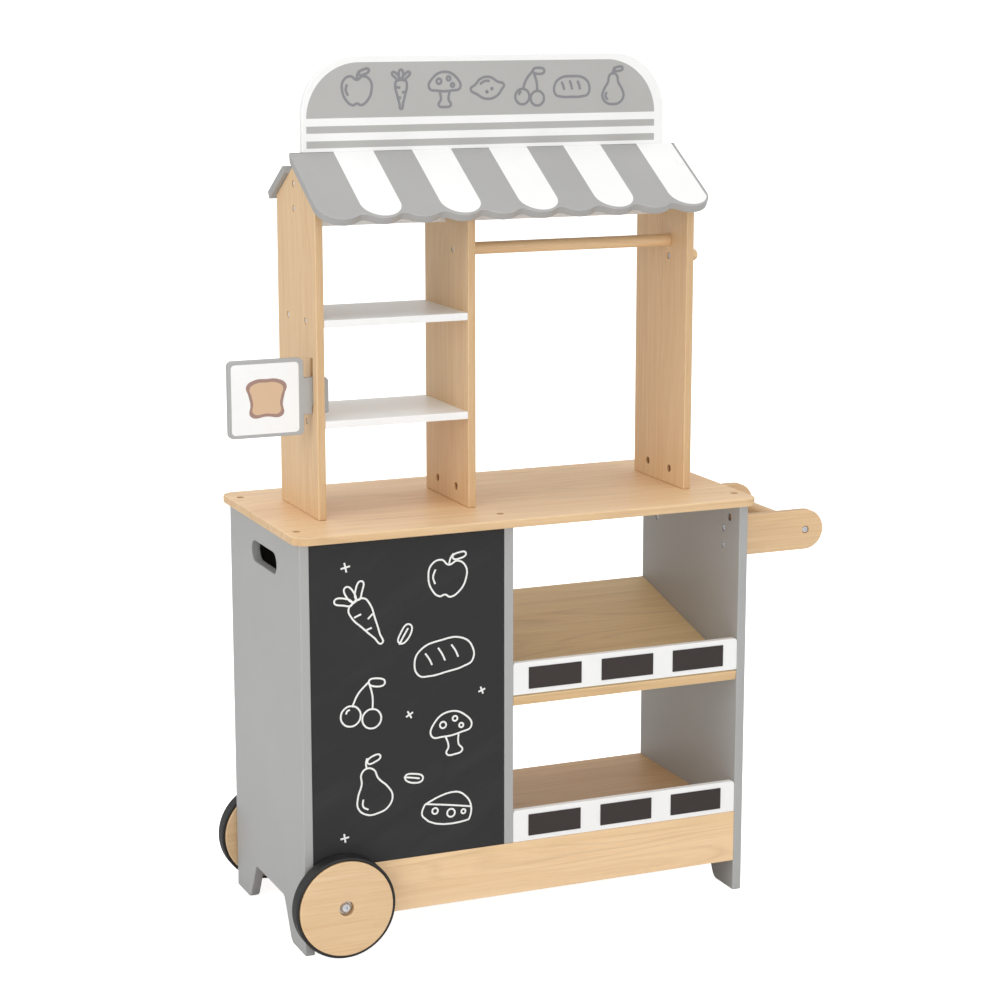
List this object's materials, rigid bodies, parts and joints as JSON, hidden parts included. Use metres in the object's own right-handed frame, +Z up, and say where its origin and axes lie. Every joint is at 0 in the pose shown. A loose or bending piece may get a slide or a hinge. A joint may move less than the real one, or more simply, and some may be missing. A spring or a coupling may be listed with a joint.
{
  "type": "toy market stall",
  "caption": "Toy market stall with a chalkboard cabinet, sloped display shelves, counter, roofed tower with header sign and awning, lift-out flag sign, wheels and push handle.",
  "frame": {"origin": "centre of the stall's box, on the floor", "axes": "+Z up, +X from the flag sign's side to the handle's side, +Y from the front to the back"},
  "size_m": [0.7656, 0.318, 1.047],
  "materials": {
    "grey_paint": "satin grey paint on fibreboard",
    "light_wood": "clear satin lacquer on light wood",
    "upright_wood": "clear satin lacquer on edge-glued pine",
    "chalkboard": "matt chalkboard paint on fibreboard",
    "white_paint": "satin white paint on fibreboard",
    "header_paint": "white paint with a grey printed field",
    "awning_paint": "grey and white painted stripes",
    "flag_paint": "white printed face with a grey rim",
    "label_film": "matt dark film that takes chalk",
    "tyre_rubber": "matt black rubber",
    "bright_steel": "bright zinc plating",
    "dowel_wood": "plain beech"
  },
  "bodies": {
    "stall": {"left_side_panel": "grey_paint", "right_side_panel": "grey_paint", "centre_divider": "grey_paint", "rear_panel": "grey_paint", "rear_awning": "grey_paint", "countertop": "light_wood", "front_plinth": "light_wood", "rear_plinth": "light_wood", "bottom_board": "light_wood", "sloped_shelf": "light_wood", "hanging_rail": "light_wood", "hanging_peg": "light_wood", "handle_front_arm": "light_wood", "handle_rear_arm": "light_wood", "handle_crossbar": "light_wood", "left_upright": "upright_wood", "middle_upright": "upright_wood", "right_upright": "upright_wood", "chalkboard_panel": "chalkboard", "upper_fence": "white_paint", "lower_fence": "white_paint", "upper_tower_shelf": "white_paint", "lower_tower_shelf": "white_paint", "header_sign": "header_paint", "front_awning": "awning_paint", "upper_price_labels": "label_film", "lower_price_labels": "label_film", "front_axle_bolt": "bright_steel", "front_axle_washers": "bright_steel", "front_axle_nut": "bright_steel", "rear_axle_bolt": "bright_steel", "rear_axle_washers": "bright_steel", "rear_axle_nut": "bright_steel", "handle_bar_bolts": "bright_steel", "handle_arm_screws": "bright_steel", "counter_bolts": "bright_steel", "counter_barrel_nuts": "bright_steel", "upright_bolts": "bright_steel", "upright_barrel_nuts": "bright_steel", "tower_shelf_screws": "bright_steel", "sign_screws": "bright_steel", "rail_screws": "bright_steel", "peg_screw": "bright_steel", "awning_screws": "bright_steel", "cabinet_dowels": "dowel_wood"},
    "front_wheel": {"front_wheel_disc": "light_wood", "front_tyre": "tyre_rubber"},
    "rear_wheel": {"rear_wheel_disc": "light_wood", "rear_tyre": "tyre_rubber"},
    "flag": {"flag_sign": "flag_paint"}
  },
  "joints": [
    {"name": "front_wheel_spin", "type": "hinge", "parent": "stall", "child": "front_wheel", "pos_m": [-0.28525, -0.148, 0.062], "axis": [0, 1, 0], "continuous": true},
    {"name": "rear_wheel_spin", "type": "hinge", "parent": "stall", "child": "rear_wheel", "pos_m": [-0.28525, 0.148, 0.062], "axis": [0, 1, 0], "continuous": true},
    {"name": "flag_sign_lift", "type": "slide", "parent": "stall", "child": "flag", "axis": [0, 0, 1], "range_m": [0, 0.022]}
  ]
}
